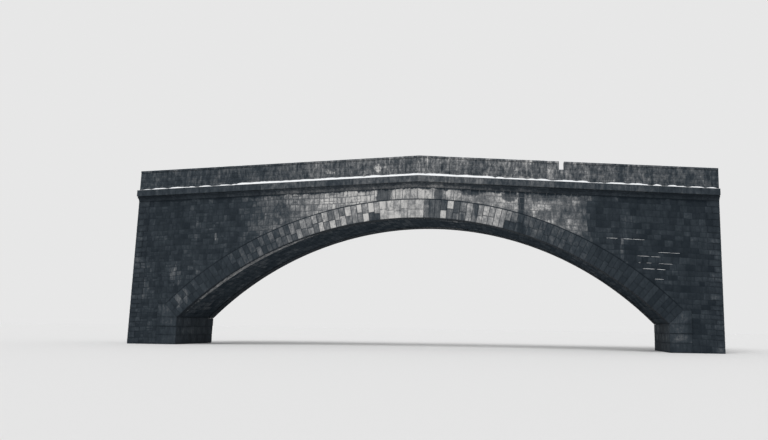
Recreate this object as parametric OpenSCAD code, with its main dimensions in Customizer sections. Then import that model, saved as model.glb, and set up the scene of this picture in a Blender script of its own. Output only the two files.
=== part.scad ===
// Single-span stone arch bridge: a segmental arch carrying a narrow lane over a dry cutting.
// Millimetres. X runs along the lane, Y through the arch from the front face, Z up.
// The origin is on the ground, under the middle of the arch.

/* [Arch] */
// Clear span between the abutments
span = 24200; // [20000:100:28000]
// Rise of the soffit above the springing line
rise = 5070; // [4000:10:6000]
// Height of the springing line above the ground
springing_h = 1350; // [1000:50:2400]
// Depth of the ring on the face, from soffit to extrados
ring_depth = 920; // [700:10:1100]
// How far the face rings and springers stand proud of the walls
ring_proud = 30; // [10:5:80]
// How much the barrel's soffit is set up behind the rings
soffit_step = 25; // [5:5:80]
// Height of wall between the ring's crown and the bed mould
crown_cover = 650; // [500:10:1500]

/* [Walls] */
// Width of the bridge between its two wall faces
bridge_w = 4100; // [3600:50:6500]
// Thickness of the spandrel and wing walls
wall_t = 600; // [450:10:900]
// Length of each springer stone course along the lane
springer_l = 1050; // [950:10:1500]
// Height of the springer course below the springing line
springer_h = 450; // [300:10:700]
// Length of each wing wall beyond the springer
wing_l = 1500; // [800:50:4000]

/* [Lane] */
// Angle at which the lane falls from the crown to each end, in degrees
lane_angle = 2.9; // [1:0.1:4.5]
// Thickness of the lane's surface
lane_t = 200; // [120:10:300]

/* [String course] */
// Height of the bed mould under the string course
bed_h = 230; // [190:10:400]
// How far the bed mould stands out from the wall
bed_out = 150; // [80:10:180]
// Height of the string course's face
string_h = 340; // [220:10:450]
// How far the string course stands out from the wall
string_out = 250; // [190:10:400]
// Fall of the string course's top towards its edge
string_weathering = 15; // [0:5:90]

/* [Parapet] */
// Height of the parapet wall, without its coping
parapet_h = 930; // [600:10:1200]
// Thickness of the parapet wall
parapet_t = 450; // [350:10:600]
// Half the length of the middle stretch of parapet
parapet_middle = 5400; // [3000:50:6000]
// Height of the coping
coping_h = 150; // [100:5:250]
// How far the coping overhangs each side of the parapet
coping_out = 25; // [10:5:60]
// Fall of the coping's top towards each edge
coping_weathering = 25; // [0:5:50]

/* [Missing coping stone] */
// Distance of the gap's middle from the crown
gap_x = 7100; // [6500:10:9000]
// Width of the gap
gap_w = 230; // [150:10:600]
// Depth of the gap below the top of the parapet wall
gap_depth = 300; // [100:10:400]

/* [Hidden] */
$fn = 256;
face_y = bridge_w / 2;
core_y = face_y - wall_t;
lane_y = face_y - parapet_t;

soffit_r = (pow(span / 2, 2) + pow(rise, 2)) / (2 * rise);
extrados_r = soffit_r + ring_depth;
arch_z = springing_h + rise - soffit_r;
arch_angle = asin(span / 2 / soffit_r);
skewback_x = extrados_r * sin(arch_angle);
skewback_z = arch_z + extrados_r * cos(arch_angle);

springer_x = span / 2 + springer_l;
end_x = springer_x + wing_l;

wall_z = springing_h + rise + ring_depth + crown_cover;
bed_z = wall_z + bed_h;
string_z = bed_z + string_h;
parapet_z = string_z + parapet_h;
coping_z = parapet_z + coping_h;
gap_edges = [gap_x - gap_w / 2, gap_x + gap_w / 2];

// Height above the ground, at x, of a line that falls with the lane from z at the crown
function falling(z, x) = z - abs(x) * tan(lane_angle);

// Depth across a falling course that measures h when it is plumbed
function across(h) = h * cos(lane_angle);

// Upright outline between two falling lines, from x0 to x1 on one side of the crown
function band(x0, x1, z0, z1) = [
    [x0, falling(z0, x0)], [x1, falling(z0, x1)], [x1, falling(z1, x1)], [x0, falling(z1, x0)]
];

// An outline drawn in X and Z, made solid from y0 to y1
module through(y0, y1) {
    translate([0, y1, 0]) rotate([90, 0, 0]) linear_extrude(y1 - y0) children();
}

// A section drawn in Y and Z, run down the lane's fall from z at the crown, with plumb ends at x0 and x1
module raking(z, x0, x1) {
    intersection() {
        translate([x0, -bridge_w, 0]) cube([x1 - x0, 2 * bridge_w, 2 * coping_z]);
        translate([0, 0, z]) rotate([0, lane_angle, 0]) translate([x0 - string_h, 0, 0])
            rotate([90, 0, 90]) linear_extrude((x1 - x0) / cos(lane_angle) + 2 * string_h) children();
    }
}

module on_left() { mirror([1, 0, 0]) children(); }
module on_back() { mirror([0, 1, 0]) children(); }

// Ring of stone about the arch's centre, in two halves that meet at the crown, from y0 to y1
module ring(inner_r, y0, y1) {
    module half() {
        translate([0, y1, arch_z]) rotate([90, 0, 0]) rotate([0, 0, 90])
            rotate_extrude(angle = arch_angle)
                translate([inner_r, 0]) square([extrados_r - inner_r, y1 - y0]);
    }
    half();
    on_left() half();
}

module arch_ring() {
    color("gray") ring(soffit_r, -face_y - ring_proud, -core_y);
}

module arch_barrel() {
    color("dimgray") ring(soffit_r + soffit_step, -core_y, core_y);
}

module abutment() {
    color("dimgray") translate([span / 2, -face_y, 0])
        cube([springer_l, bridge_w, springing_h - springer_h]);
}

module springer() {
    color("gray") through(-face_y - ring_proud, face_y + ring_proud) polygon([
        [span / 2, springing_h - springer_h], [span / 2, springing_h], [skewback_x, skewback_z],
        [springer_x, skewback_z], [springer_x, springing_h - springer_h]
    ]);
}

// The outline given, less what the arch takes out of it above the springers
module over_arch() {
    difference() {
        children();
        intersection() {
            translate([0, arch_z]) circle(extrados_r);
            translate([-extrados_r, skewback_z]) square(2 * extrados_r);
        }
    }
}

module spandrel() {
    color("slategray") through(-face_y, -core_y) over_arch() polygon([
        [0, skewback_z], [springer_x, skewback_z], [springer_x, falling(wall_z, springer_x)], [0, wall_z]
    ]);
}

module wing_wall() {
    color("slategray") through(-face_y, -core_y) polygon([
        [springer_x, 0], [end_x, 0], [end_x, falling(wall_z, end_x)],
        [springer_x, falling(wall_z, springer_x)]
    ]);
}

// Rubble and earth between the walls, over the arch and behind it
module rubble_core() {
    color("darkslategray") through(-core_y, core_y) over_arch() polygon([
        [0, skewback_z], [springer_x, skewback_z], [springer_x, 0], [end_x, 0],
        [end_x, falling(bed_z, end_x)], [0, bed_z]
    ]);
}

module lane() {
    color("silver") through(-lane_y, lane_y) polygon(band(0, end_x, bed_z, bed_z + lane_t));
}

module bed_mould() {
    color("dimgray") raking(wall_z, 0, end_x) difference() {
        translate([-face_y - bed_out, 0]) square([wall_t + bed_out, across(bed_h)]);
        translate([-face_y - bed_out, 0]) circle(bed_out);
    }
}

module string_course() {
    edge = -face_y - string_out;
    color("gray") raking(bed_z, 0, end_x) polygon([
        [edge, 0], [-lane_y, 0], [-lane_y, across(string_h)], [-face_y, across(string_h)],
        [edge, across(string_h - string_weathering)]
    ]);
}

module middle_parapet() {
    color("dimgray") through(-face_y, -lane_y) polygon([
        [0, string_z], [parapet_middle, falling(string_z, parapet_middle)],
        [parapet_middle, falling(parapet_z, parapet_middle)], [0, parapet_z],
        [-parapet_middle, falling(parapet_z, parapet_middle)],
        [-parapet_middle, falling(string_z, parapet_middle)]
    ]);
}

module side_parapet() {
    color("dimgray") through(-face_y, -lane_y) polygon(band(parapet_middle, end_x, string_z, parapet_z));
}

// The opening left by the coping stone that is missing, down into the parapet
module gap_cut() {
    translate([gap_edges[0], -bridge_w, falling(parapet_z - gap_depth, gap_x)])
        cube([gap_w, bridge_w, parapet_h]);
}

module gapped_parapet() {
    difference() {
        side_parapet();
        gap_cut();
    }
}

module coping(x0, x1) {
    inner = -lane_y + coping_out;
    outer = -face_y - coping_out;
    edge_h = across(coping_h - coping_weathering);
    color("gray") raking(parapet_z, x0, x1) polygon([
        [outer, 0], [inner, 0], [inner, edge_h], [(inner + outer) / 2, across(coping_h)], [outer, edge_h]
    ]);
}

module middle_coping() {
    coping(0, parapet_middle);
    on_left() coping(0, parapet_middle);
}

module gapped_coping() {
    coping(parapet_middle, gap_edges[0]);
    coping(gap_edges[1], end_x);
}

on_left() abutment();  // left_abutment
abutment();  // right_abutment
on_left() springer();  // left_springer
springer();  // right_springer
arch_ring();  // front_arch_ring
on_back() arch_ring();  // back_arch_ring
arch_barrel();
on_left() spandrel();  // front_left_spandrel
spandrel();  // front_right_spandrel
on_back() on_left() spandrel();  // back_left_spandrel
on_back() spandrel();  // back_right_spandrel
on_left() wing_wall();  // front_left_wing_wall
wing_wall();  // front_right_wing_wall
on_back() on_left() wing_wall();  // back_left_wing_wall
on_back() wing_wall();  // back_right_wing_wall
on_left() rubble_core();  // left_rubble_core
rubble_core();  // right_rubble_core
on_left() lane();  // left_lane
lane();  // right_lane
on_left() bed_mould();  // front_left_bed_mould
bed_mould();  // front_right_bed_mould
on_back() on_left() bed_mould();  // back_left_bed_mould
on_back() bed_mould();  // back_right_bed_mould
on_left() string_course();  // front_left_string_course
string_course();  // front_right_string_course
on_back() on_left() string_course();  // back_left_string_course
on_back() string_course();  // back_right_string_course
on_left() side_parapet();  // front_left_parapet
middle_parapet();  // front_middle_parapet
gapped_parapet();  // front_right_parapet
on_back() on_left() side_parapet();  // back_left_parapet
on_back() middle_parapet();  // back_middle_parapet
on_back() side_parapet();  // back_right_parapet
on_left() coping(parapet_middle, end_x);  // front_left_coping
middle_coping();  // front_middle_coping
gapped_coping();  // front_right_coping
on_back() on_left() coping(parapet_middle, end_x);  // back_left_coping
on_back() middle_coping();  // back_middle_coping
on_back() coping(parapet_middle, end_x);  // back_right_coping
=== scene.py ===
"""Looks of a single-span stone arch bridge: laid stone by stone over mortar, with snow on its ledges."""
import math
import random

import bmesh
import bpy
from mathutils import Matrix, Vector, noise


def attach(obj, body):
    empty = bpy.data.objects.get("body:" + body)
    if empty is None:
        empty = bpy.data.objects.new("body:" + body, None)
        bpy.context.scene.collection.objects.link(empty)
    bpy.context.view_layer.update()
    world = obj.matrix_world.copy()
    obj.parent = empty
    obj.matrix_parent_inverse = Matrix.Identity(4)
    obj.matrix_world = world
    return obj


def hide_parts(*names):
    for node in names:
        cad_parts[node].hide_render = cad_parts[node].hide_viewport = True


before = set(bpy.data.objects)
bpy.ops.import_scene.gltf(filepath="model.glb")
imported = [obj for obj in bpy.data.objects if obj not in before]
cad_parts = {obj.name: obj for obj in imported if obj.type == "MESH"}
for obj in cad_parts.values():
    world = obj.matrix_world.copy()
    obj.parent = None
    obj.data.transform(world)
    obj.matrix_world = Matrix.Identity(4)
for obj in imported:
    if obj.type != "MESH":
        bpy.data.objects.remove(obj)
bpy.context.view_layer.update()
# Without a seed of its own the noise starts from the time of day
noise.seed_set(8)

# Sizes in metres, the same as those of the solids
SPAN = 24.2
RISE = 5.07
SPRINGING = 1.35
RING_DEPTH = 0.92
RING_FACE = 2.08
SOFFIT_STEP = 0.025
WALL_FACE = 2.05
CORE_FACE = 1.45
LANE_EDGE = 1.60
SPRINGER_FOOT = 0.90
SPRINGER_END = 13.15
END = 14.65
FALL = math.tan(math.radians(2.9))
WALL_TOP = 7.99
BED_H = 0.23
BED_OUT = 0.15
STRING_H = 0.34
STRING_OUT = 0.25
STRING_WEATHERING = 0.015
LANE_T = 0.20
PARAPET_H = 0.93
PARAPET_MIDDLE = 5.40
COPING_H = 0.15
COPING_OUT = 0.025
COPING_WEATHERING = 0.025
GAP = (6.985, 7.215)
GAP_DEPTH = 0.30

BED_TOP = WALL_TOP + BED_H
STRING_TOP = BED_TOP + STRING_H
PARAPET_TOP = STRING_TOP + PARAPET_H
COPING_TOP = PARAPET_TOP + COPING_H - 0.020
SOFFIT_R = ((SPAN / 2) ** 2 + RISE ** 2) / (2 * RISE)
EXTRADOS_R = SOFFIT_R + RING_DEPTH
RING_R = SOFFIT_R + RING_DEPTH / 2
BARREL_R = SOFFIT_R + SOFFIT_STEP
ARCH_Z = SPRINGING + RISE - SOFFIT_R
ARCH_ANGLE = math.asin(SPAN / 2 / SOFFIT_R)
SKEWBACK_X = EXTRADOS_R * math.sin(ARCH_ANGLE)
SKEWBACK_Z = ARCH_Z + EXTRADOS_R * math.cos(ARCH_ANGLE)

# How far mortar lies back from the faces of the solids, and from their edges
MORTAR_BACK = 0.024
MORTAR_EDGE = 0.016
# Mouldings, parapets and copings stop this far inside the ends of the solids
END_PLAY = 0.002

# Mean length of each kind of stone, and how far they differ, as a share of it
RUBBLE = (0.27, 0.38)
SQUARED = (0.37, 0.22)
CROWN_STONES = (0.37, 0.12)
RING_STONES = (0.285, 0.14)
KEY_STONES = (0.37, 0.08)
SOFFIT_ROWS = (0.285, 0.10)
SOFFIT_STONES = (0.50, 0.25)
END_RUBBLE = (0.34, 0.30)
PARAPET_STONES = (0.36, 0.30)
BED_STONES = (0.9, 0.16)
STRING_STONES = (1.1, 0.16)
COPING_STONES = (0.75, 0.16)

# How light the stones are along the bridge: (distance from the crown, lightness); the fall towards both ends
# is partly damp and growth, partly painted shade
WALL_LIGHT = [
    (-14.65, 0.14), (-11.5, 0.16), (-9.4, 0.18), (-8.2, 0.32), (-7.0, 0.50), (-5.9, 0.64), (-4.8, 0.82),
    (-2.4, 0.86), (-1.2, 0.94), (0.5, 0.94), (1.4, 0.66), (2.2, 0.72), (2.6, 0.60), (3.1, 0.77), (4.7, 0.74),
    (5.3, 0.56), (5.9, 0.63), (6.6, 0.63), (7.6, 0.54), (8.25, 0.42), (8.6, 0.16), (9.6, 0.13), (14.65, 0.11)]
RING_LIGHT = [
    (-13.0, 0.14), (-9.6, 0.16), (-8.8, 0.24), (-7.6, 0.34), (-6.4, 0.42), (-5.6, 0.62), (-2.6, 0.80),
    (-1.9, 0.92), (0.2, 0.88), (0.34, 0.48), (1.0, 0.44), (1.75, 0.46), (2.2, 0.46), (2.5, 0.80), (2.8, 0.46),
    (3.1, 0.82), (4.3, 0.77), (4.6, 0.48), (5.4, 0.32), (6.2, 0.28), (8.2, 0.25), (8.6, 0.16), (9.2, 0.14),
    (13.0, 0.10)]
BED_LIGHT = [
    (-14.65, 0.15), (-9.0, 0.27), (-5.6, 0.48), (-3.0, 0.50), (-2.0, 0.47), (0.2, 0.48), (0.6, 0.58),
    (1.4, 0.52), (2.2, 0.42), (4.0, 0.34), (6.0, 0.22), (14.65, 0.12)]
STRING_LIGHT = [
    (-14.65, 0.20), (-9.0, 0.24), (-6.0, 0.33), (-3.0, 0.37), (0.0, 0.41), (2.4, 0.50), (3.6, 0.44),
    (5.0, 0.38), (9.0, 0.26), (14.65, 0.18)]
PARAPET_LIGHT = [
    (-14.65, 0.24), (-9.0, 0.31), (-5.4, 0.44), (0.0, 0.50), (2.5, 0.55), (5.4, 0.55), (9.0, 0.45),
    (14.65, 0.26)]
# How light the joints are, as a share of the stones' lightness
WALL_MORTAR = [
    (-14.65, 0.85), (-9.0, 0.80), (-6.0, 0.68), (-2.4, 0.66), (-1.9, 0.70), (2.2, 0.70), (2.8, 0.82),
    (14.65, 0.88)]
RING_MORTAR = [(-13.0, 0.60), (-2.2, 0.60), (-1.9, 0.85), (0.28, 0.85), (0.5, 0.60), (13.0, 0.60)]
# How much dirt gathers round the stones: less where the joints hardly show
WALL_DIRT = [(-14.65, 0.75), (1.9, 0.75), (2.6, 0.42), (14.65, 0.42)]
RING_DIRT = [
    (-13.0, 0.7), (-8.0, 1.0), (-2.2, 1.0), (-1.9, 0.35), (0.28, 0.35), (0.5, 0.9), (4.6, 0.9), (5.4, 0.6),
    (13.0, 0.6)]
# How far neighbouring ring stones differ from each other, by turns and by chance
RING_CHEQUER = [
    (-13.0, 0.02), (-9.5, 0.03), (-8.0, 0.06), (-6.0, 0.10), (-4.6, 0.14), (-2.5, 0.14), (-1.9, 0.03),
    (0.3, 0.03), (2.2, 0.06), (3.0, 0.05), (5.0, 0.02), (13.0, 0.02)]
RING_SPREAD = [(-13.0, 0.04), (-9.0, 0.04), (-7.0, 0.07), (4.6, 0.07), (5.2, 0.04), (13.0, 0.04)]
# Two pale stones and two dark stretches of the ring: from x to x, and for the stones from z to z
PALE_RING_STONES = [(1.05, 1.40, -0.46, -0.05), (1.45, 1.75, 0.0, 0.46)]
DARK_RING_STRETCHES = [(-2.6, -1.95), (4.3, 5.6)]
PALE_TONE = 1.0
DARK_TONE = 0.26
# Painted shade on the faces of the ring and its mortar that look down at the opening
UNDERSIDE_SHADE_TONE = 0.04


# Handling of meshes

def edit_mesh():
    return bmesh.from_edit_mesh(bpy.context.object.data)


def show_changes():
    bmesh.update_edit_mesh(bpy.context.object.data)


def select(action):
    """Selects all of the open piece, none of it or the other part of it: SELECT, DESELECT or INVERT."""
    bpy.ops.mesh.select_all(action=action)


def select_by(kind):
    """Goes over to selecting by VERT, EDGE or FACE."""
    bpy.ops.mesh.select_mode(type=kind)


def select_faces(test):
    select("DESELECT")
    for face in edit_mesh().faces:
        if test(face):
            face.select_set(True)
    show_changes()


def place_corners(place):
    """Puts each selected corner of the open piece where place says it goes."""
    for corner in edit_mesh().verts:
        if corner.select:
            corner.co = place(corner.co)
    show_changes()


def extrude(x, y, z):
    """Draws the selected faces out by this much, and leaves their new ends selected."""
    bpy.ops.mesh.extrude_region_move(TRANSFORM_OT_translate={"value": (x, y, z)})


def place_key(place):
    return tuple(round(value, 4) for value in place)


def face_key(face):
    return place_key(face.calc_center_median())


def corner_key(corner):
    return place_key(corner.co), min(face.index for face in corner.link_faces)


def put_in_order():
    """Sorts faces and corners by place; some operators leave them in an order that changes each run."""
    mesh = edit_mesh()
    for parts, key in ((mesh.faces, face_key), (mesh.verts, corner_key)):
        for place, part in enumerate(sorted(parts, key=key)):
            part.index = place
        parts.sort()
    show_changes()


def shake_corners(amount, seed):
    """Moves the selected corners a little, each its own way."""
    put_in_order()
    bpy.ops.transform.vertex_random(offset=amount, uniform=0, normal=0, seed=seed)


def start_piece(name):
    """An empty piece at the origin, open for modelling by faces."""
    bpy.ops.object.select_all(action="DESELECT")
    bpy.ops.object.add(type="MESH", location=(0, 0, 0))
    piece = bpy.context.object
    piece.name = name
    piece.data.name = name
    bpy.ops.object.mode_set(mode="EDIT")
    select_by("FACE")
    return piece


def close_piece():
    """Turns every face outwards and leaves edit mode."""
    select("SELECT")
    bpy.ops.mesh.normals_make_consistent(inside=False)
    put_in_order()
    bpy.ops.object.mode_set(mode="OBJECT")


def select_pieces(active, *others):
    bpy.ops.object.select_all(action="DESELECT")
    for piece in (active, *others):
        piece.select_set(True)
    bpy.context.view_layer.objects.active = active


def copy_turned(piece, name):
    """A copy with its own mesh, turned half round to the bridge's other side."""
    select_pieces(piece)
    bpy.ops.object.duplicate(linked=False)
    copy = bpy.context.object
    copy.name = name
    copy.data.name = name
    copy.rotation_euler = (0, 0, math.pi)
    bpy.ops.object.transform_apply(location=False, rotation=True, scale=False)
    return copy


def move_points(piece, place):
    """Puts every point of a closed piece where place says it goes."""
    for point in piece.data.vertices:
        point.co = place(point.co)
    piece.data.update()
    return piece


def follow_fall(co):
    return Vector((co.x, co.y, co.z - FALL * abs(co.x)))


def round_the_arch(co):
    """Bends what is laid flat along the ring's middle line round the arch's centre."""
    angle = co.x / RING_R
    radius = RING_R + co.z
    return Vector((radius * math.sin(angle), co.y, ARCH_Z + radius * math.cos(angle)))


def under_the_arch(co):
    """Bends what is laid flat, facing out, to face down all along the soffit."""
    angle = co.z / BARREL_R
    radius = BARREL_R + co.y
    return Vector((radius * math.sin(angle), co.x, ARCH_Z + radius * math.cos(angle)))


# Lines, joints and courses

def level(z):
    return lambda x: z


def falling(z):
    return lambda x: z - FALL * abs(x)


def along(knots):
    """A line through the knots, as a value for each distance from the crown."""
    def value(x):
        for (x0, v0), (x1, v1) in zip(knots, knots[1:]):
            if x <= x1:
                return v0 + (v1 - v0) * max(x - x0, 0) / (x1 - x0)
        return knots[-1][1]
    return value


def over_the_arch(x):
    """Height of the lower edge of the walls between the springers' ends."""
    if abs(x) >= SKEWBACK_X:
        return SKEWBACK_Z
    return ARCH_Z + math.sqrt(EXTRADOS_R ** 2 - x ** 2)


def even_steps(start, end, step):
    count = max(round((end - start) / step), 1)
    return [start + (end - start) * k / count for k in range(count + 1)]


def arch_columns(start, end):
    """Columns close enough to follow the arch, with one at each change of direction."""
    stops = [start] + [x for x in (-SKEWBACK_X, 0, SKEWBACK_X) if start < x < end] + [end]
    columns = [start]
    for left, right in zip(stops, stops[1:]):
        columns += even_steps(left, right, step=0.45)[1:]
    return columns


def joint_places(start, end, lengths, chance):
    """Places of the upright joints from start to end, a chance distance apart."""
    mean, spread = lengths
    two_stones, one_stone = (1.6 + spread) * mean, 1.3 * mean
    places = [start]
    while end - places[-1] > two_stones:
        places.append(places[-1] + mean * chance.uniform(1 - spread, 1 + spread))
    if end - places[-1] > one_stone:
        places.append((places[-1] + end) / 2)
    return places + [end]


def add_strip(columns, low, high, y):
    """A row of upright faces at the depth y, between two lines, from column to column."""
    count = len(columns) - 1
    bpy.ops.mesh.primitive_grid_add(
        x_subdivisions=count, y_subdivisions=1, size=1, location=(0, 0, 0), rotation=(math.pi / 2, 0, 0))

    def place(corner):
        x = columns[round((corner.x + 0.5) * count)]
        line = low if corner.z < 0 else high
        return (x, y, line(x))
    place_corners(place)


def add_slab(columns, low, high, front, back):
    """A closed slab between two lines, from its front to its back."""
    add_strip(columns, low, high, back)
    extrude(0, front - back, 0)


def lay_course(joints, low, high):
    """One course of flat stone faces that look along -Y, parted at the joints."""
    add_strip(joints, level(low), level(high), 0)
    bpy.ops.mesh.edge_split(type="EDGE")


def split_some(low, high, share, chance):
    """Parts a share of the stones of the last course into a lower and an upper one."""
    mesh = edit_mesh()
    mesh.faces.index_update()
    chosen = [face for face in mesh.faces if face.select]
    chosen.sort(key=lambda face: face.calc_center_median().x)
    kept = {face.index for face in chosen if chance.random() < share}
    if not kept:
        return
    select_faces(lambda face: face.index in kept)
    bed = low + (high - low) * chance.uniform(0.4, 0.6)
    bpy.ops.mesh.bisect(plane_co=(0, 0, bed), plane_no=(0, 0, 1))
    bpy.ops.mesh.edge_split(type="EDGE")


def trim_to_line(lowest, sliver=0.045, smallest=0.006):
    """Cuts each stone where it crosses the line below the wall, and clears those under the line."""
    mesh = edit_mesh()
    number = mesh.faces.layers.int.new("number")
    under = set()
    crossing = []
    for count, face in enumerate(mesh.faces):
        face[number] = count
        xs = [corner.co.x for corner in face.verts]
        zs = [corner.co.z for corner in face.verts]
        left, right = lowest(min(xs), 1), lowest(max(xs), -1)
        if max(zs) <= min(left, right) + sliver:
            under.add(count)
        elif min(zs) < max(left, right):
            crossing.append((count, Vector((min(xs), 0, left)), Vector((max(xs), 0, right))))
    show_changes()
    for count, start, end in crossing:
        select_faces(lambda face: face[number] == count)
        bpy.ops.mesh.bisect(plane_co=start, plane_no=(start.z - end.z, 0, end.x - start.x), clear_inner=True)
    select_faces(lambda face: face[number] in under or face.calc_area() < smallest)
    bpy.ops.mesh.delete(type="FACE")


def wander(amount, closeness, freedom):
    """Lets the joints wander in a wave, as far as each corner is free to move."""
    for corner in edit_mesh().verts:
        wave = noise.noise_vector(Vector((corner.co.x * closeness, 4, corner.co.z * closeness)))
        reach = amount * freedom(corner.co)
        corner.co.x += reach * wave.x
        corner.co.z += reach * wave.z
    show_changes()


def loosen_corners(amount, seed, freedom):
    """Moves the corners that are free a little by chance, so that no joint is quite straight."""
    select_by("VERT")
    select("DESELECT")
    fixed = 0.03
    for corner in edit_mesh().verts:
        corner.select_set(freedom(corner.co) > fixed)
    show_changes()
    shake_corners(amount, seed)
    place_corners(lambda co: (co.x, 0, co.z))
    select_by("FACE")


# Tones and dirt, which the materials read from each piece

def each_face(mesh):
    return [[face] for face in mesh.faces]


def each_block(mesh):
    """The faces of each closed block, in the order of their first faces."""
    blocks = []
    waiting = set(mesh.faces)
    for first in mesh.faces:
        if first not in waiting:
            continue
        waiting.remove(first)
        block = [first]
        for face in block:
            for edge in face.edges:
                for neighbour in edge.link_faces:
                    if neighbour in waiting:
                        waiting.remove(neighbour)
                        block.append(neighbour)
        blocks.append(block)
    return blocks


def tint(parts, lightness, spread, chance):
    """Gives each stone its own lightness, from where it lies and from chance."""
    put_in_order()
    darkest = 0.02
    mesh = edit_mesh()
    tone = mesh.faces.layers.float.new("tone")
    for stone in parts(mesh):
        middle = sum((face.calc_center_median() for face in stone), Vector()) / len(stone)
        reach = spread(middle)
        value = min(max(lightness(middle) + chance.uniform(-reach, reach), darkest), 1)
        for face in stone:
            face[tone] = value
    show_changes()


def by_x(knots):
    """A lightness for a place on the piece, from its distance to the crown."""
    return lambda place: along(knots)(place.x)


def change_dirt(change):
    """Sets how much of the joints' dirt lies at each corner, from the corner and what lay there before."""
    mesh = edit_mesh()
    dirt = mesh.verts.layers.float.get("edge") or mesh.verts.layers.float.new("edge")
    for corner in mesh.verts:
        corner[dirt] = change(corner, corner[dirt])
    show_changes()


def dress_fronts(margin, rise, crown, rough, seed):
    """Gives the selected faces a worn margin and a rough middle, which is free of the joints' dirt."""
    bpy.ops.mesh.inset(thickness=margin, depth=rise, use_individual=True)
    change_dirt(lambda corner, dirt: 0 if corner.select else dirt)
    bpy.ops.mesh.poke(offset=crown)
    shake_corners(rough, seed)


def dress_stones(joint, depth, margin, rise, crown, rough, seed):
    """Parts flat stones by open joints, makes closed blocks of them, and dresses their fronts."""
    select("SELECT")
    bpy.ops.mesh.inset(thickness=joint / 2, use_individual=True)
    select("INVERT")
    bpy.ops.mesh.delete(type="FACE")
    select("SELECT")
    extrude(0, -depth, 0)
    change_dirt(lambda corner, dirt: 1)
    dress_fronts(margin, rise, crown, rough, seed)


def thin_dirt(share):
    """Leaves only a share of the joints' dirt, by the distance from the crown."""
    change_dirt(lambda corner, dirt: dirt * share(corner.co.x))


# Walls

def course_levels():
    """Heights of the walls' bed joints at the crown, from the top down."""
    chance = random.Random(11)
    top_course, lowest_bed = 0.31, 0.62
    levels = [WALL_TOP, WALL_TOP - top_course, WALL_TOP - 2 * top_course]
    while levels[-1] > lowest_bed:
        levels.append(levels[-1] - chance.choice((0.22, 0.25, 0.28, 0.32)))
    return levels


LEVELS = course_levels()
COURSES = list(enumerate(zip(LEVELS, LEVELS[1:])))
LONG_QUOIN = 0.62
SHORT_QUOIN = 0.38
# The stretch over the crown where squared stones stand two courses high
ASHLAR = (-2.25, 2.15)
# How far the field of a wall's stone lies inside the solid, as room for its swell
WALL_PLAY = 0.014


def quoin_length(course, along_wall):
    return LONG_QUOIN if (course % 2 == 0) == along_wall else SHORT_QUOIN


def wall_stretches(course, low):
    """Stretches of a course, with straight joints where springers, skewbacks and squared stones end."""
    end = END - quoin_length(course, True)
    tallest = 0.5
    if course < 2:
        return [(-end, ASHLAR[0]), (ASHLAR[1], end)]
    stops = [-end, 0, end]
    if low < SKEWBACK_Z + FALL * SPRINGER_END:
        stops += [-SPRINGER_END, SPRINGER_END]
    if low < SKEWBACK_Z + FALL * SKEWBACK_X < low + tallest:
        stops += [-SKEWBACK_X, SKEWBACK_X]
        stops = sorted({*stops, -SPRINGER_END, SPRINGER_END})
    stops.sort()
    return list(zip(stops, stops[1:]))


def lay_wall_courses(chance):
    """Small rubble on the left and larger squared stones on the right, with the tall ones between."""
    for course, (high, low) in COURSES:
        for start, end in wall_stretches(course, low):
            if start >= 0:
                lay_course(joint_places(start, end, SQUARED, chance), low, high)
            else:
                lay_course(joint_places(start, end, RUBBLE, chance), low, high)
                split_some(low, high, share=0.22, chance=chance)
    lay_course(joint_places(*ASHLAR, CROWN_STONES, chance), LEVELS[2], WALL_TOP)


def lowest_of_wall(x, side):
    """Lower edge of a wall before it falls with the lane; side says which side of x is asked for."""
    joint, near = 0.012, 0.001
    beyond = abs(x) > SPRINGER_END + near
    if abs(abs(x) - SPRINGER_END) <= near:
        beyond = x * side > 0
    return (0 if beyond else over_the_arch(x) + joint) + FALL * abs(x)


def wall_freedom(co):
    """How freely a corner of the walls' stones may move: from 0 on the outline to 1 a little inside."""
    lowest = max(lowest_of_wall(co.x, 1), lowest_of_wall(co.x, -1))
    inside = min(co.z - lowest, WALL_TOP - co.z, END - LONG_QUOIN - abs(co.x))
    free_from = 0.4
    return min(max(inside / free_from, 0), 1)


def make_wall_stones():
    chance = random.Random(21)
    piece = start_piece("front_wall")
    lay_wall_courses(chance)
    trim_to_line(lowest_of_wall)
    tint(each_face, by_x(WALL_LIGHT), level(0.08), chance)
    wander(amount=0.06, closeness=0.6, freedom=wall_freedom)
    wander(amount=0.035, closeness=2.3, freedom=wall_freedom)
    loosen_corners(amount=0.015, seed=5, freedom=wall_freedom)
    depth, rise = 0.05, 0.007
    dress_stones(joint=0.018, depth=depth, margin=0.020, rise=rise, crown=0.004, rough=0.004, seed=7)
    thin_dirt(along(WALL_DIRT))
    close_piece()
    back = -WALL_FACE + WALL_PLAY + depth + rise
    return move_points(piece, lambda co: follow_fall(Vector((co.x, co.y + back, co.z))))


def make_wall_mortar():
    piece = start_piece("wall_mortar")
    end = END - MORTAR_EDGE
    stretches = ((arch_columns(-SPRINGER_END, SPRINGER_END), over_the_arch),
                 ([-end, -SPRINGER_END], level(0)), ([SPRINGER_END, end], level(0)))
    for columns, bottom in stretches:
        add_slab(columns, bottom, falling(WALL_TOP), -WALL_FACE + MORTAR_BACK, -CORE_FACE)
    tint(each_face, lambda place: by_x(WALL_MORTAR)(place) * by_x(WALL_LIGHT)(place), level(0.01),
         random.Random(4))
    close_piece()
    return piece


# Rings and barrel

# Stretches along the ring's middle line whose stones are as deep as the ring
FULL_DEPTH = [(0.30, 1.05), (2.55, 2.85), (-3.35, -3.05), (3.9, 4.15)]
# The stretch at the crown with the longest stones
KEY_STRETCH = (-1.95, 0.28)


def ring_joints(chance):
    half = RING_R * ARCH_ANGLE
    return (joint_places(-half, KEY_STRETCH[0], RING_STONES, chance)
            + joint_places(*KEY_STRETCH, KEY_STONES, chance)[1:]
            + joint_places(KEY_STRETCH[1], half, RING_STONES, chance)[1:])


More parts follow.
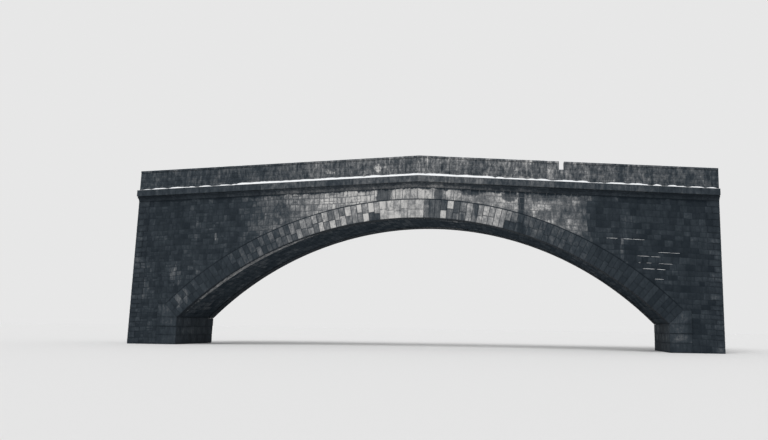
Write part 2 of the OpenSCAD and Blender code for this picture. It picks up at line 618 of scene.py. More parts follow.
def band_line(x):
    """Height of the joint between the ring's two bands, which jumps from stone to stone."""
    steps = (-0.04, -0.04, 0.02, -0.10, -0.04, 0.05, -0.13)
    steps_a_metre = 3.1
    return steps[int(abs(x) * steps_a_metre + 0.5) % len(steps)]


def stone_x(face):
    return round(face.calc_center_median().x, 4)


def part_ring_bands(chance):
    """Parts most of the ring's stones into an inner and an outer one."""
    put_in_order()
    left_whole = 0.10
    bands = {}
    for face in edit_mesh().faces:
        x = face.calc_center_median().x
        full = any(start < x < end for start, end in FULL_DEPTH)
        if not full and chance.random() > left_whole:
            bands.setdefault(band_line(x), set()).add(stone_x(face))
    for line, places in bands.items():
        select_faces(lambda face: stone_x(face) in places)
        bpy.ops.mesh.bisect(plane_co=(0, 0, line), plane_no=(0, 0, 1))
    select("SELECT")
    bpy.ops.mesh.edge_split(type="EDGE")


def ring_place(middle):
    """Distance from the crown of what lies at this length along the ring."""
    return RING_R * math.sin(middle.x / RING_R)


def ring_lightness(middle):
    """Light and dark stones by turns, by how much they differ at that place."""
    x = ring_place(middle)
    if any(x0 < x < x1 and z0 < middle.z < z1 for x0, x1, z0, z1 in PALE_RING_STONES):
        return PALE_TONE
    between_bands = -0.08
    inner = middle.z < between_bands
    if inner and any(x0 < x < x1 for x0, x1 in DARK_RING_STRETCHES):
        return DARK_TONE
    turn = 1 if (math.floor(middle.x / RING_STONES[0]) + inner) % 2 else -1
    return along(RING_LIGHT)(x) + turn * along(RING_CHEQUER)(x)


def bend_ring(piece, back):
    """Bends a flat ring round the arch, and darkens what looks down at the opening with painted shade."""
    move_points(piece, lambda co: round_the_arch(Vector((co.x, co.y + back, co.z))))
    tone = piece.data.attributes["tone"].data
    centre = Vector((0, 0, ARCH_Z))
    downwards = -0.7
    for face in piece.data.polygons:
        outwards = Vector((face.center.x, 0, face.center.z)) - centre
        if face.normal.dot(outwards.normalized()) < downwards:
            tone[face.index].value = UNDERSIDE_SHADE_TONE
    return piece


def make_ring_stones():
    chance = random.Random(31)
    piece = start_piece("front_ring")
    lay_course(ring_joints(chance), -RING_DEPTH / 2, RING_DEPTH / 2)
    part_ring_bands(chance)
    tint(each_face, ring_lightness, by_x(RING_SPREAD), chance)
    rise = 0.008
    dress_stones(joint=0.012, depth=RING_FACE - CORE_FACE - rise, margin=0.028, rise=rise, crown=0.002,
                 rough=0.003, seed=8)
    thin_dirt(along(RING_DIRT))
    close_piece()
    return bend_ring(piece, -CORE_FACE)


def add_arch_slab(low, front, back):
    """A flat slab as long as the ring and up to its outer edge."""
    reach = RING_R * ARCH_ANGLE
    add_slab(even_steps(-reach, reach, step=0.4), level(low), level(RING_DEPTH / 2), front, back)


def make_ring_mortar():
    piece = start_piece("ring_mortar")
    add_arch_slab(MORTAR_EDGE - RING_DEPTH / 2, -RING_FACE + MORTAR_BACK, -CORE_FACE)
    tint(each_face, lambda middle: by_x(RING_MORTAR)(middle) * along(RING_LIGHT)(ring_place(middle)),
         level(0.01), random.Random(5))
    close_piece()
    return bend_ring(piece, 0)


def make_barrel_stones():
    """The soffit's courses, each a row of stones from one ring to the other."""
    chance = random.Random(41)
    piece = start_piece("barrel")
    reach = BARREL_R * ARCH_ANGLE
    rows = joint_places(-reach, reach, SOFFIT_ROWS, chance)
    for low, high in zip(rows, rows[1:]):
        lay_course(joint_places(-CORE_FACE, CORE_FACE, SOFFIT_STONES, chance), low, high)
    tint(each_face, level(0.3), level(0.25), chance)
    depth, rise, play = 0.06, 0.008, 0.004
    dress_stones(joint=0.012, depth=depth, margin=0.014, rise=rise, crown=0.003, rough=0.004, seed=9)
    close_piece()
    back = depth + rise + play
    return move_points(piece, lambda co: under_the_arch(Vector((co.x, co.y + back, co.z))))


def make_barrel_mortar():
    piece = start_piece("barrel_mortar")
    play = 0.006
    add_arch_slab(SOFFIT_STEP + MORTAR_EDGE + play - RING_DEPTH / 2, -CORE_FACE, CORE_FACE)
    close_piece()
    return move_points(piece, round_the_arch)


# Squared blocks of springers, abutments and quoins

def add_block(*ranges):
    """A block of stone added to the open piece, which fills its ranges along x, y and z."""
    middle = [sum(pair) / 2 for pair in ranges]
    bpy.ops.mesh.primitive_cube_add(size=1, location=middle)
    place_corners(lambda co: [pair[co[axis] > middle[axis]] for axis, pair in enumerate(ranges)])


def pull_in(pair, gap):
    return (pair[0] + gap, pair[1] - gap)


def lay_blocks(face, low, high, joints, gap):
    """A course of blocks under a springer's length of wall, from one face of the bridge to the other."""
    stops = [-face, *joints, face]
    for y_range in zip(stops, stops[1:]):
        add_block(*(pull_in(pair, gap) for pair in ((SPAN / 2, SPRINGER_END), y_range, (low, high))))


def fill_blocks(face, start, low, high, inner):
    """Mortar inside such a course."""
    add_block((start, SPRINGER_END), (-face + inner, face - inner), (low, high))


def bevel_edges(sharpness, arris):
    """Takes off the edges that are sharper than this, and leaves the worn strips selected."""
    select_by("EDGE")
    select("DESELECT")
    bpy.ops.mesh.edges_select_sharp(sharpness=math.radians(sharpness))
    bpy.ops.mesh.bevel(offset=arris, segments=1, affect="EDGES")


def roughen(rough, seed):
    select_by("FACE")
    select("SELECT")
    shake_corners(rough, seed)


def wear_blocks(arris, rough, seed):
    """Takes the sharp edges off the blocks, where dirt gathers, and roughens their faces."""
    select("SELECT")
    bpy.ops.mesh.subdivide(number_cuts=2)
    bevel_edges(sharpness=30, arris=arris)
    change_dirt(lambda corner, dirt: 1 if corner.select else dirt)
    roughen(rough, seed)


def make_springer():
    """The right springer and its mortar: a level course, and over it one cut to the skewback."""
    stones = start_piece("right_springer_stones")
    gap = 0.006
    lay_blocks(RING_FACE, SPRINGER_FOOT, SPRINGING, (-1.30, -0.45, 0.50, 1.35), gap)
    lay_blocks(RING_FACE, SPRINGING, SKEWBACK_Z, (-1.45, -0.70, 0.10, 0.85, 1.45), gap)
    select_faces(lambda part: part.calc_center_median().z > SPRINGING)
    run, rise = SKEWBACK_X - SPAN / 2, SKEWBACK_Z - SPRINGING
    bpy.ops.mesh.bisect(plane_co=(SPAN / 2 + gap, 0, SPRINGING), plane_no=(rise, 0, -run), use_fill=True,
                        clear_inner=True)
    tint(each_block, level(0.24), level(0.08), random.Random(51))
    wear_blocks(arris=0.010, rough=0.003, seed=12)
    close_piece()
    mortar = start_piece("springer_mortar")
    inner = 0.018
    fill_blocks(RING_FACE, SPAN / 2 + inner, SPRINGER_FOOT, SPRINGING, inner)
    fill_blocks(RING_FACE, SKEWBACK_X, SPRINGING, SKEWBACK_Z - inner, inner)
    close_piece()
    return stones, mortar


def make_abutment():
    """The right abutment and its mortar: two courses of large squared blocks on the ground."""
    stones = start_piece("right_abutment_stones")
    bed, gap = 0.46, 0.007
    lay_blocks(WALL_FACE, 0, bed, (-1.20, -0.35, 0.45, 1.25), gap)
    lay_blocks(WALL_FACE, bed, SPRINGER_FOOT, (-1.50, -0.80, 0.05, 0.90, 1.55), gap)
    tint(each_block, level(0.20), level(0.06), random.Random(52))
    wear_blocks(arris=0.012, rough=0.004, seed=13)
    close_piece()
    mortar = start_piece("abutment_mortar")
    inner = 0.020
    fill_blocks(WALL_FACE, SPAN / 2 + inner, 0, SPRINGER_FOOT, inner)
    close_piece()
    return stones, mortar


def make_end_stones():
    """The right end: rubble between quoins that turn both corners."""
    chance = random.Random(61)
    piece = start_piece("right_end")
    drop = FALL * END
    for course, (high, low) in COURSES:
        reach = WALL_FACE - quoin_length(course, False)
        lay_course(joint_places(-reach, reach, END_RUBBLE, chance), low - drop, high - drop)
        split_some(low - drop, high - drop, share=0.2, chance=chance)
    lay_course(joint_places(-CORE_FACE, CORE_FACE, END_RUBBLE, chance), WALL_TOP - drop, BED_TOP - drop)
    trim_to_line(lambda x, side: 0.0)
    tint(each_face, level(0.22), level(0.09), chance)
    loosen_corners(amount=0.012, seed=6, freedom=lambda co: co.z)
    depth, rise, play = 0.05, 0.008, 0.010
    dress_stones(joint=0.018, depth=depth, margin=0.014, rise=rise, crown=0.004, rough=0.003, seed=10)
    close_piece()
    back = END - play - depth - rise
    return move_points(piece, lambda co: Vector((back - co.y, co.x, co.z)))


def make_quoins():
    piece = start_piece("right_quoins")
    gap, side_gap, play = 0.007, 0.006, 0.004
    for course, (high, low) in COURSES:
        x_range = pull_in((END - quoin_length(course, True), END - play), gap)
        depth = quoin_length(course, False)
        for y_range in ((-WALL_FACE, -WALL_FACE + depth), (WALL_FACE - depth, WALL_FACE)):
            add_block(x_range, pull_in(y_range, side_gap), pull_in((low, high), gap))
    tint(each_block, level(0.20), level(0.07), random.Random(62))
    wear_blocks(arris=0.010, rough=0.003, seed=14)
    close_piece()
    move_points(piece, follow_fall)
    bpy.ops.object.mode_set(mode="EDIT")
    select("SELECT")
    bpy.ops.mesh.bisect(plane_co=(0, 0, play), plane_no=(0, 0, 1), use_fill=True, clear_inner=True)
    close_piece()
    return piece


def make_core():
    """Mortar and rubble behind the right end, from the crown on."""
    piece = start_piece("right_core")
    for columns, bottom in ((arch_columns(0, SPRINGER_END), over_the_arch),
                            ([SPRINGER_END, END - MORTAR_BACK], level(0))):
        add_slab(columns, bottom, falling(BED_TOP), -CORE_FACE, CORE_FACE)
    close_piece()
    return piece


# Mouldings and copings

def add_bar(outline, x0, x1):
    """A length of moulding; the outline gives its section's corners (y, z) in turn."""
    bpy.ops.mesh.primitive_circle_add(vertices=len(outline), radius=1, fill_type="NGON")
    corners = iter(outline)
    place_corners(lambda co: (x0, *next(corners)))
    extrude(x1 - x0, 0, 0)


def cross_cuts(number):
    """Parts the long edges of the bars, so that wear can bend them."""
    select_by("EDGE")
    select("DESELECT")
    shortest = 0.1
    for edge in edit_mesh().edges:
        start, end = (corner.co for corner in edge.verts)
        if abs(start.x - end.x) > shortest:
            edge.select_set(True)
    show_changes()
    bpy.ops.mesh.subdivide_edgering(number_cuts=number, interpolation="LINEAR")


def shrunk(outline, amount):
    """The outline with its corners moved towards its middle by about the amount."""
    def draw_in(values):
        middle = (min(values) + max(values)) / 2
        share = 1 - amount / (max(values) - middle)
        return [middle + (value - middle) * share for value in values]
    ys, zs = zip(*outline)
    return list(zip(draw_in(ys), draw_in(zs)))


def make_bars(name, outline, stretches, lengths, light, seed):
    """Stones of one section laid end to end along each stretch, and their mortar."""
    chance = random.Random(seed)
    stones = start_piece(name)
    gap, inner, skin = 0.008, 0.02, 0.012
    for x0, x1 in stretches:
        joints = joint_places(x0, x1, lengths, chance)
        for start, end in zip(joints, joints[1:]):
            add_bar(outline, start + gap / 2, end - gap / 2)
    tint(each_block, by_x(light), level(0.05), chance)
    cross_cuts(number=3)
    bevel_edges(sharpness=35, arris=0.010)
    roughen(rough=0.0035, seed=seed)
    close_piece()
    mortar = start_piece(name + "_mortar")
    for x0, x1 in stretches:
        crown = [0] if x0 < 0 < x1 else []
        stops = [x0 + inner, *crown, x1 - inner]
        for start, end in zip(stops, stops[1:]):
            add_bar(shrunk(outline, skin), start, end)
    close_piece()
    return move_points(stones, follow_fall), move_points(mortar, follow_fall)


def bed_outline():
    """A hollow moulding under a narrow square edge."""
    edge = -WALL_FACE - BED_OUT
    angles = [math.radians(15 * step) for step in range(7)]
    hollow = [(edge + BED_OUT * math.cos(angle), WALL_TOP + BED_OUT * math.sin(angle)) for angle in angles]
    return [(-CORE_FACE, WALL_TOP)] + hollow + [(edge, BED_TOP), (-CORE_FACE, BED_TOP)]


def string_outline():
    play = 0.005
    edge = -WALL_FACE - STRING_OUT + play
    return [(-LANE_EDGE, BED_TOP), (edge, BED_TOP), (edge, STRING_TOP - STRING_WEATHERING),
            (-WALL_FACE, STRING_TOP), (-LANE_EDGE, STRING_TOP)]


def coping_outline():
    outer = -WALL_FACE - COPING_OUT
    inner = -LANE_EDGE + COPING_OUT
    edge_top = COPING_TOP - COPING_WEATHERING
    return [(inner, PARAPET_TOP), (outer, PARAPET_TOP), (outer, edge_top), ((outer + inner) / 2, COPING_TOP),
            (inner, edge_top)]


# Parapets

def around_gap(start, end, missing, clear=0.0):
    """The stretch from start to end, or its two parts beside the missing stone."""
    if not missing:
        return [(start, end)]
    return [(start, missing[0] - clear), (missing[1] + clear, end)]


def make_parapet_stones(name, start, end, seed, missing=None):
    """A length of parapet whose stones run through its thickness and are dressed on both faces."""
    chance = random.Random(seed)
    piece = start_piece(name)
    lower = (PARAPET_H - GAP_DEPTH) / 3
    beds = [STRING_TOP + lower * k for k in range(4)] + [PARAPET_TOP]
    for low, high in zip(beds, beds[1:]):
        gone = missing if high == PARAPET_TOP else None
        for left, right in around_gap(start, end, gone):
            lay_course(joint_places(left, right, PARAPET_STONES, chance), low, high)
    tint(each_face, by_x(PARAPET_LIGHT), level(0.04), chance)
    field = {"margin": 0.014, "rise": 0.008, "crown": 0.004, "rough": 0.004}
    rise = field["rise"]
    dress_stones(joint=0.006, depth=WALL_FACE - LANE_EDGE - 2 * rise, seed=seed, **field)
    select("SELECT")
    bpy.ops.mesh.normals_make_consistent(inside=False)
    upright, near = 0.99, 0.002
    select_faces(lambda face: abs(face.normal.y) > upright and abs(face.calc_center_median().y) < near)
    dress_fronts(seed=seed + 1, **field)
    close_piece()
    return move_points(piece, lambda co: follow_fall(Vector((co.x, co.y - LANE_EDGE - rise, co.z))))


def make_parapet_mortar(name, start, end, missing=None):
    """Mortar nearly flush with the parapet's stones, and as dark or light as they are."""
    piece = start_piece(name)
    step, inner, overlap, darker = 0.6, 0.011, 0.016, 0.06
    front, back = -WALL_FACE + inner, -LANE_EDGE - inner
    start, end = pull_in((start, end), gap=0.02)
    columns = even_steps(start, end, step)
    if start < 0 < end:
        columns = even_steps(start, 0, step) + even_steps(0, end, step)[1:]
    top = PARAPET_TOP - 0.01
    gap_floor = PARAPET_TOP - GAP_DEPTH - 0.004
    add_slab(columns, falling(STRING_TOP), falling(gap_floor if missing else top), front, back)
    if missing:
        for left, right in around_gap(start, end, missing, clear=0.012):
            add_slab(even_steps(left, right, step), falling(gap_floor - overlap), falling(top), front, back)
    tint(each_face, lambda place: by_x(PARAPET_LIGHT)(place) - darker, level(0.02), random.Random(3))
    close_piece()
    return piece


# Lane and snow

# How far the wheel tracks lie from the lane's middle
TRACK_Y = 0.72


def make_lane():
    """A cambered gravel lane with two worn wheel tracks."""
    piece = start_piece("lane_surface")
    play, above_bed = 0.012, 0.001
    bpy.ops.mesh.primitive_grid_add(x_subdivisions=220, y_subdivisions=28, size=1, location=(0, 0, 0))
    top = BED_TOP + LANE_T - play

    def place(co):
        x, y = co.x * 2 * END, co.y * 2 * LANE_EDGE
        camber = 0.030 * (y / LANE_EDGE) ** 2
        track = 0.022 * math.exp(-((abs(y) - TRACK_Y) / 0.16) ** 2)
        lump = 0.010 * noise.noise(Vector((x * 1.7, y * 2.6, 3)))
        return (x, y, top - camber - track + lump)
    place_corners(place)
    select("SELECT")
    extrude(0, 0, -0.1)
    place_corners(lambda co: (co.x, co.y, BED_TOP + above_bed))
    close_piece()
    return move_points(piece, follow_fall)


def add_drift(start, end, y_range, base, depth, seed, ragged=0.0, step=0.09):
    """A long low heap of snow: rounded in section, uneven in depth, and bare in places where it's ragged."""
    count = max(round((end - start) / step), 3)
    bpy.ops.mesh.primitive_grid_add(x_subdivisions=count, y_subdivisions=6, size=1, location=(0, 0, 0))
    low, high = y_range

    def place(co):
        share = co.y + 0.5
        x = start + (end - start) * (co.x + 0.5)
        bump = noise.noise(Vector((x * 1.9, share * 2, seed)))
        fine = noise.noise(Vector((x * 7.0, share * 5, seed + 9)))
        bare = ragged * max(noise.noise(Vector((x * 2.6, share, seed + 20))) + 0.15, 0)
        ends = max(min(1, (x - start) / 0.18, (end - x) / 0.18), 0)
        height = (depth(x) * (0.85 + 0.30 * bump + 0.20 * fine) - bare) * math.sqrt(ends)
        section = (1 - abs(2 * share - 1) ** 3.2) * max(height, 0)
        y = low + (high - low) * share
        return (x, y, base(y) + section)
    place_corners(place)
    extrude(0, 0, -0.001)
    place_corners(lambda co: (co.x, co.y, base(co.y) - 0.006))


def make_snow(name, drifts):
    piece = start_piece(name)
    for drift in drifts:
        add_drift(*drift)
    close_piece()
    return move_points(piece, follow_fall)


def string_ledge(y):
    """Height at the crown of the string course's weathered top, in front of the parapet."""
    share = min(max((-WALL_FACE - y) / STRING_OUT, 0), 1)
    sunk = 0.002
    return STRING_TOP - STRING_WEATHERING * share - sunk


def coping_top(y):
    middle = (WALL_FACE + LANE_EDGE) / 2
    share = min(abs(abs(y) - middle) / (WALL_FACE + COPING_OUT - middle), 1)
    sunk = 0.002
    return COPING_TOP - sunk - COPING_WEATHERING * share


def ledge_drifts():
    ledge = (-WALL_FACE - STRING_OUT + 0.006, -WALL_FACE + 0.03)
    thinner = along([(3.8, 0.105), (8.5, 0.10), (14.6, 0.07)])
    return [(-14.62, -9.3, ledge, string_ledge, level(0.080), 1, 0.15),
            (-9.45, 3.9, ledge, string_ledge, level(0.118), 2),
            (3.8, 14.62, ledge, string_ledge, thinner, 3, 0.15)]


def coping_drifts():
    top = pull_in((-WALL_FACE - COPING_OUT, -LANE_EDGE + COPING_OUT), gap=0.012)
    thin_at_crown = along([(-0.9, 0.045), (-0.3, 0.012), (0.3, 0.012), (0.9, 0.045)])
    stretches = ((-14.5, -5.5), (-5.3, 5.3), (5.5, GAP[0] - 0.03), (GAP[1] + 0.03, 14.5))
    return [(start, end, top, coping_top, thin_at_crown, seed, 0.03)
            for seed, (start, end) in enumerate(stretches, 5)]


def gap_drift():
    bottom = pull_in((-WALL_FACE, -LANE_EDGE), gap=0.03)
    return [(*pull_in(GAP, gap=0.01), bottom, level(PARAPET_TOP - GAP_DEPTH - 0.004), level(0.13), 4)]


# Where snow is caught on the wall's bed joints: start, length and height
SNOWY_JOINTS = [
    (9.25, 0.45, 5.8), (10.05, 0.8, 5.75), (10.7, 0.8, 5.2), (11.7, 0.6, 5.3), (11.7, 0.6, 4.85),
    (10.75, 0.5, 4.75), (10.95, 1.1, 4.45), (11.5, 0.5, 4.0)]


def wall_drifts():
    """Traces of snow caught here and there on the rough bed joints of the wall's right end."""
    chance = random.Random(91)
    joint = (-WALL_FACE - 0.002, -WALL_FACE + 0.020)
    drifts = []
    for start, length, height in SNOWY_JOINTS:
        bed = min(LEVELS, key=lambda bed: abs(bed - height))
        x = start
        while x < start + length:
            lump = chance.choice((0.08, 0.14, 0.22, 0.40, 0.55))
            depth = level(chance.uniform(0.001, 0.009))
            drifts.append((x, x + lump, joint, level(bed - 0.008), depth, chance.randint(1, 90), 0.008, 0.03))
            x += lump + chance.choice((0.01, 0.04, 0.10, 0.30))
    return drifts


# Shader nodes; a node goes in the tree of the sockets that it reads

def tone_colour(*screen):
    """A colour given as it looks on screen, 0 to 255, for a shader."""
    shares = [value / 255 for value in screen]
    return (*(share / 12.92 if share <= 0.04045 else ((share + 0.055) / 1.055) ** 2.4 for share in shares), 1)


def add_node(kind, inputs, tree=None, **settings):
    """A shader node with its settings, and its inputs given as values or as sockets to read."""
    sockets = [value for value in inputs.values() if isinstance(value, bpy.types.NodeSocket)]
    tree = tree or sockets[0].id_data
    made = tree.nodes.new("ShaderNode" + kind)
    for setting, value in settings.items():
        setattr(made, setting, value)
    for socket, value in inputs.items():
        if value in sockets:
            tree.links.new(value, made.inputs[socket])
        else:
            made.inputs[socket].default_value = value
    return made


def connect(socket, target):
    target.id_data.links.new(socket, target)


def maths(operation, first, second=0.0):
    return add_node("Math", {0: first, 1: second}, operation=operation).outputs[0]


def plus(first, second):
    return maths("ADD", first, second)


def minus(first, second):
    return maths("SUBTRACT", first, second)


def times(first, second):
    return maths("MULTIPLY", first, second)


def size_of(value):
    return maths("ABSOLUTE", value)


def vector_maths(operation, vector, second):
    return add_node("VectorMath", {0: vector, 1: second}, operation=operation).outputs[0]


def scaled(vector, scale):
    return add_node("VectorMath", {0: vector, "Scale": scale}, operation="SCALE").outputs[0]


def stretched(vector, x, y, z):
    return vector_maths("MULTIPLY", vector, (x, y, z))


def split(vector):
    return add_node("SeparateXYZ", {0: vector}).outputs


def spread_to(value, from_low, from_high, to_low=0.0, to_high=1.0, smooth=False):
    """The value spread from one range to another, and held at its ends."""
    return add_node("MapRange", {
        "Value": value, "From Min": from_low, "From Max": from_high, "To Min": to_low, "To Max": to_high},
        interpolation_type="SMOOTHSTEP" if smooth else "LINEAR").outputs["Result"]


def cloud(vector, scale, detail, roughness):
    return add_node("TexNoise", {
        "Vector": vector, "Scale": scale, "Detail": detail, "Roughness": roughness}).outputs["Fac"]


def blend(mask, first, second):
    return add_node("Mix", {0: mask, 6: first, 7: second}, data_type="RGBA").outputs[2]


def darken(light, mask, amount):
    """Lightness taken down by the amount where the mask is full."""
    return times(light, minus(1.0, times(mask, amount)))


def vary(light, shade, amount):
    """Lightness taken up and down by the amount as the shade goes from 0 to 1."""
    return times(light, plus(times(times(minus(shade, 0.5), 2.0), amount), 1.0))


# Shader groups

NOWHERE = (0, 0, 0)


def new_group(name, inputs, outputs=("Mask",)):
    """An empty shader group with its inputs, vectors and numbers by their values, and its outputs."""
    group = bpy.data.node_groups.new(name, "ShaderNodeTree")
    for label, value in inputs.items():
        kind = "NodeSocketFloat" if isinstance(value, float) else "NodeSocketVector"
        group.interface.new_socket(label, in_out="INPUT", socket_type=kind).default_value = value
    for label in outputs:
        kind = "NodeSocketColor" if label == "Color" else "NodeSocketFloat"
        group.interface.new_socket(label, in_out="OUTPUT", socket_type=kind)
    source = group.nodes.new("NodeGroupInput").outputs
    target = group.nodes.new("NodeGroupOutput").inputs
    return group, source, target


def use_group(group, output="Mask", **inputs):
    return add_node("Group", inputs, node_tree=group).outputs[output]


def stone_colour_group():
    """Weathered grey stone, from cool and nearly black to a plain pale grey."""
    group, source, target = new_group("Stone colour", {"Lightness": 0.5}, ("Color",))
    ramp = add_node("ValToRGB", {"Fac": source["Lightness"]})
    elements = ramp.color_ramp.elements
    ends = ((0.0, (18, 26, 33)), (1.0, (192, 191, 189)))
    for element, (place, shade) in zip(elements, ends):
        element.position = place
        element.color = tone_colour(*shade)
    for place, shade in ((0.25, (52, 59, 65)), (0.5, (92, 95, 98)), (0.75, (134, 135, 136))):
        elements.new(place).color = tone_colour(*shade)
    connect(ramp.outputs["Color"], target["Color"])
    return group


def grain_group():
    """Mottling and pits of worn stone: broad from stone to stone, fine on each stone's own."""
    group, source, target = new_group(
        "Stone grain", {"Vector": NOWHERE, "Own": NOWHERE, "Scale": 1.0}, ("Mottle", "Height"))
    own = scaled(source["Own"], source["Scale"])
    broad = cloud(scaled(source["Vector"], source["Scale"]), 3.6, 6.0, 0.62)
    fine = cloud(own, 15.0, 6.0, 0.65)
    pits = add_node("TexVoronoi", {"Vector": own, "Scale": 26.0}).outputs["Distance"]
    dents = spread_to(pits, 0.0, 0.35, smooth=True)
    connect(spread_to(plus(times(broad, 0.55), times(fine, 0.45)), 0.34, 0.66), target["Mottle"])
    connect(plus(times(fine, 0.8), times(dents, 0.3)), target["Height"])
    return group


def streak_group():
    """Dark runs that rain draws down an upright face."""
    group, source, target = new_group("Rain streaks", {"Vector": NOWHERE, "Closeness": 1.0}, ("Mask", "Runs"))
    vector = scaled(source["Vector"], source["Closeness"])
    short = cloud(stretched(vector, 1.0, 1.0, 0.38), 9.0, 6.0, 0.68)
    long = cloud(stretched(vector, 1.0, 1.0, 0.13), 5.0, 4.0, 0.6)
    breaks = cloud(vector, 1.3, 2.0, 0.5)
    connect(spread_to(short, 0.34, 0.66), target["Runs"])
    connect(times(spread_to(long, 0.48, 0.66, smooth=True), spread_to(breaks, 0.35, 0.62, smooth=True)),
            target["Mask"])
    return group


def ledge_shade_and_drip_group():
    """Painted shade solid close under a ledge, running into soot and damp that hang from it in drips of
    uneven length.
    """
    group, source, target = new_group("Drips", {"Vector": NOWHERE, "Top": WALL_TOP, "Length": 0.3})
    parts = split(source["Vector"])
    depth = minus(minus(source["Top"], times(size_of(parts["X"]), FALL)), parts["Z"])
    places = add_node("CombineXYZ", {"X": parts["X"], "Y": parts["Y"]}).outputs[0]
    slow = spread_to(cloud(places, 0.9, 3.0, 0.6), 0.35, 0.65)
    comb = spread_to(cloud(places, 5.0, 3.0, 0.5), 0.35, 0.65)
    uneven = plus(times(slow, 1.2), times(comb, 0.5))
    reach = times(source["Length"], plus(uneven, 0.15))
    ragged = times(minus(cloud(source["Vector"], 7.0, 5.0, 0.65), 0.5), 1.6)
    share = plus(maths("DIVIDE", depth, reach), ragged)
    connect(spread_to(share, 0.5, 1.2, 1.0, 0.0, smooth=True), target["Mask"])
    return group


def patch_group():
    """A soft uneven patch at a place on the piece."""
    group, source, target = new_group(
        "Patch", {"Vector": NOWHERE, "Place": NOWHERE, "Size": (1, 1, 1), "Raggedness": 0.5})
    away = vector_maths("DIVIDE", vector_maths("SUBTRACT", source["Vector"], source["Place"]), source["Size"])
    distance = add_node("VectorMath", {0: away}, operation="LENGTH").outputs["Value"]
    rough = minus(cloud(stretched(source["Vector"], 1.0, 1.0, 0.4), 7.0, 5.0, 0.65), 0.5)
    ragged = times(rough, times(source["Raggedness"], 2.0))
    connect(spread_to(plus(distance, ragged), 0.7, 1.15, 1.0, 0.0, smooth=True), target["Mask"])
    return group


def ends_group():
    """How far a place lies out along the bridge, where damp and shade darken it."""
    group, source, target = new_group("Dark ends", {"Vector": NOWHERE})
    connect(spread_to(size_of(split(source["Vector"])["X"]), 5.5, 10.0, smooth=True), target["Mask"])
    return group


def arch_joint_shade_group():
    """Painted shadow in the joint between the arch ring and the walls' stones over it."""
    group, source, target = new_group("Joint over the arch", {"Vector": NOWHERE})
    flat = stretched(source["Vector"], 1.0, 0.0, 1.0)
    radius = add_node("VectorMath", {0: flat, 1: (0, 0, ARCH_Z)}, operation="DISTANCE").outputs["Value"]
    line = spread_to(size_of(minus(radius, EXTRADOS_R + 0.015)), 0.020, 0.045, 1.0, 0.0, smooth=True)
    x = split(source["Vector"])["X"]
    connect(times(line, spread_to(size_of(x), SKEWBACK_X - 0.2, SKEWBACK_X, 1.0, 0.0)), target["Mask"])
    return group


STONE_COLOUR = stone_colour_group()
GRAIN = grain_group()
STREAKS = streak_group()
LEDGE_SHADE_AND_DRIPS = ledge_shade_and_drip_group()
PATCH = patch_group()
DARK_ENDS = ends_group()
ARCH_JOINT_SHADE = arch_joint_shade_group()


# Materials

def new_material(name, roughness, shine=0.12):
    """An empty procedural material, its shader's inputs and the object's coordinates."""
    material = bpy.data.materials.new(name)
    material.use_nodes = True
    tree = material.node_tree
    tree.nodes.clear()
    shader = add_node("BsdfPrincipled", {"Roughness": roughness, "Specular IOR Level": shine}, tree)
    connect(shader.outputs["BSDF"], tree.nodes.new("ShaderNodeOutputMaterial").inputs["Surface"])
    return material, shader.inputs, add_node("TexCoord", {}, tree).outputs["Object"]


def set_bump(shader, height, strength, distance):
    bump = add_node("Bump", {"Height": height, "Strength": strength, "Distance": distance})
    connect(bump.outputs["Normal"], shader["Normal"])


def read_piece(name, vector):
    """An attribute of the piece, in the tree of this vector."""
    return add_node("Attribute", {}, vector.id_data, attribute_name=name).outputs["Fac"]


def worn_dirt(vector, tone):
    """The joints' dirt, in patches, and less of it on dark stones."""
    edge = read_piece("edge", vector)
    dirt = times(edge, spread_to(cloud(vector, 4.0, 3.0, 0.6), 0.3, 0.6, 0.35, 1.0))
    return times(dirt, spread_to(tone, 0.1, 0.5, 0.35, 1.0))


def stone_material(name, tones=(0.02, 1.0), mottle=0.3, runs=0.15, blotches=0.15, streaks=0.4, dirt=0.6,
                   bump=0.7, drips=None, over_arch=False, shine=0.12, patches=()):
    """Weathered stone: each stone's own tone, its grain, the dirt round it, what rain and soot left, and
    painted shade under a ledge and in the joint over the arch.
    """
    material, shader, vector = new_material(name, 0.9, shine)
    tone = read_piece("tone", vector)
    own = vector_maths("ADD", vector, scaled((37.0, 11.0, 23.0), tone))
    grain = {"Vector": vector, "Own": own, "Scale": 1.0}
    rain = {"Vector": vector, "Closeness": 1.0}
    grain_maps = add_node("Group", grain, node_tree=GRAIN).outputs
    rain_maps = add_node("Group", rain, node_tree=STREAKS).outputs
    light = spread_to(tone, 0.0, 1.0, *tones)
    broad = spread_to(cloud(vector, 1.1, 4.0, 0.6), 0.35, 0.65)
    calm_on_pale = spread_to(tone, 0.6, 0.95, 1.0, 0.45)
    for shade, amount in ((grain_maps["Mottle"], mottle), (rain_maps["Runs"], runs), (broad, blotches)):
        light = vary(light, shade, times(calm_on_pale, amount))
    light = darken(light, rain_maps["Mask"], times(calm_on_pale, streaks))
    light = darken(light, worn_dirt(vector, tone), dirt)
    # Painted shade close under the ledge, and drip stains below it
    if drips:
        top, length, amount = drips
        light = darken(light, use_group(LEDGE_SHADE_AND_DRIPS, Vector=vector, Top=top, Length=length), amount)
    if over_arch:
        # Painted shadow where the ring stands out from the wall
        light = darken(light, use_group(ARCH_JOINT_SHADE, Vector=vector), 0.6)
    for place, size, ragged, change in patches:
        mask = use_group(PATCH, Vector=vector, Place=place, Size=size, Raggedness=ragged)
        light = darken(light, mask, -change)
    connect(use_group(STONE_COLOUR, "Color", Lightness=light), shader["Base Color"])
    connect(spread_to(grain_maps["Mottle"], 0.0, 1.0, 0.82, 0.98), shader["Roughness"])
    set_bump(shader, grain_maps["Height"], bump, 0.012)
    return material


